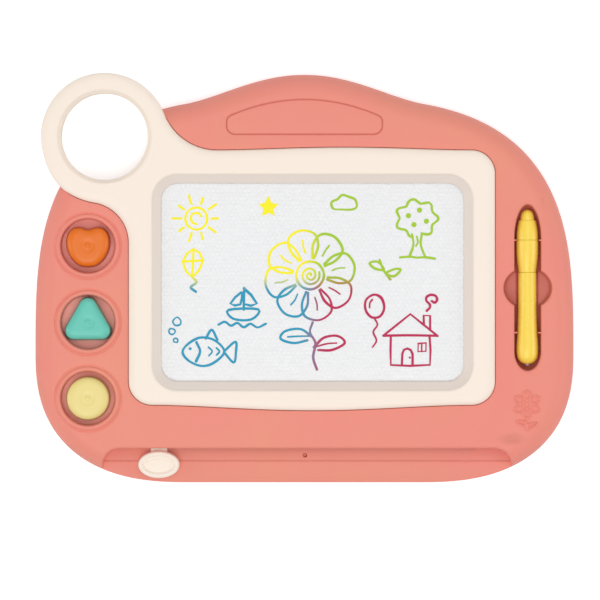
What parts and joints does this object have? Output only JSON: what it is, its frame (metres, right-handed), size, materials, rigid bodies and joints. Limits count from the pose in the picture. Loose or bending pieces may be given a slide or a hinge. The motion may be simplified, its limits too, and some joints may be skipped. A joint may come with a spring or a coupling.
{
  "type": "magnetic drawing board",
  "caption": "Rounded child's magnetic drawing board with a cream bezel and corner carrying ring, an eraser slider, a pen in a trough and shaped stamps in wells.",
  "frame": {"origin": "middle of the footprint, on the surface that the feet stand on", "axes": "+X along the width to the pen's side, +Y towards the handle hump, +Z out of the screen"},
  "size_m": [0.39, 0.2958, 0.0314],
  "materials": {
    "coral": "moulded, satin",
    "cream": "moulded, satin",
    "yellow": "moulded, smooth",
    "orange": "moulded, smooth",
    "teal": "moulded, smooth",
    "pale_yellow": "moulded, smooth",
    "film": "thin sheet",
    "cells": "small cells filled with a pale fluid",
    "natural": "unpigmented",
    "magnet": "flexible sheet magnet, matt",
    "steel": "zinc-plated"
  },
  "bodies": {
    "board": {"front_shell": "coral", "back_cover": "coral", "bezel_frame": "cream", "ring_rear_half": "cream", "screen_front_sheet": "film", "screen_cell_core": "cells", "screen_back_sheet": "film", "case_screw_1": "steel", "case_screw_2": "steel", "case_screw_3": "steel", "case_screw_4": "steel", "case_screw_5": "steel", "case_screw_6": "steel", "case_screw_7": "steel", "case_screw_8": "steel", "case_screw_9": "steel", "bezel_screw_1": "steel", "bezel_screw_2": "steel", "bezel_screw_3": "steel", "bezel_screw_4": "steel", "bezel_screw_5": "steel", "bezel_screw_6": "steel", "ring_screw_1": "steel", "ring_screw_2": "steel", "ring_screw_3": "steel"},
    "eraser": {"eraser_carrier": "natural", "eraser_magnet": "magnet", "eraser_knob": "cream", "eraser_screw": "steel"},
    "pen": {"pen_barrel": "yellow", "pen_grip": "yellow", "pen_cap": "yellow", "pen_nib": "steel"},
    "heart_piece": {"heart_stamp": "orange", "heart_stamp_magnet": "magnet"},
    "triangle_piece": {"triangle_stamp": "teal", "triangle_stamp_magnet": "magnet"},
    "round_piece": {"round_stamp": "pale_yellow", "round_stamp_magnet": "magnet"}
  },
  "joints": [
    {"name": "eraser_slide", "type": "slide", "parent": "board", "child": "eraser", "axis": [1, 0, 0], "range_m": [0, 0.222]},
    {"name": "pen_lift", "type": "slide", "parent": "board", "child": "pen", "axis": [0, 0, 1], "range_m": [0, 0.05]},
    {"name": "heart_piece_lift", "type": "slide", "parent": "board", "child": "heart_piece", "axis": [0, 0, 1], "range_m": [0, 0.04]},
    {"name": "triangle_piece_lift", "type": "slide", "parent": "board", "child": "triangle_piece", "axis": [0, 0, 1], "range_m": [0, 0.04]},
    {"name": "round_piece_lift", "type": "slide", "parent": "board", "child": "round_piece", "axis": [0, 0, 1], "range_m": [0, 0.04]}
  ]
}
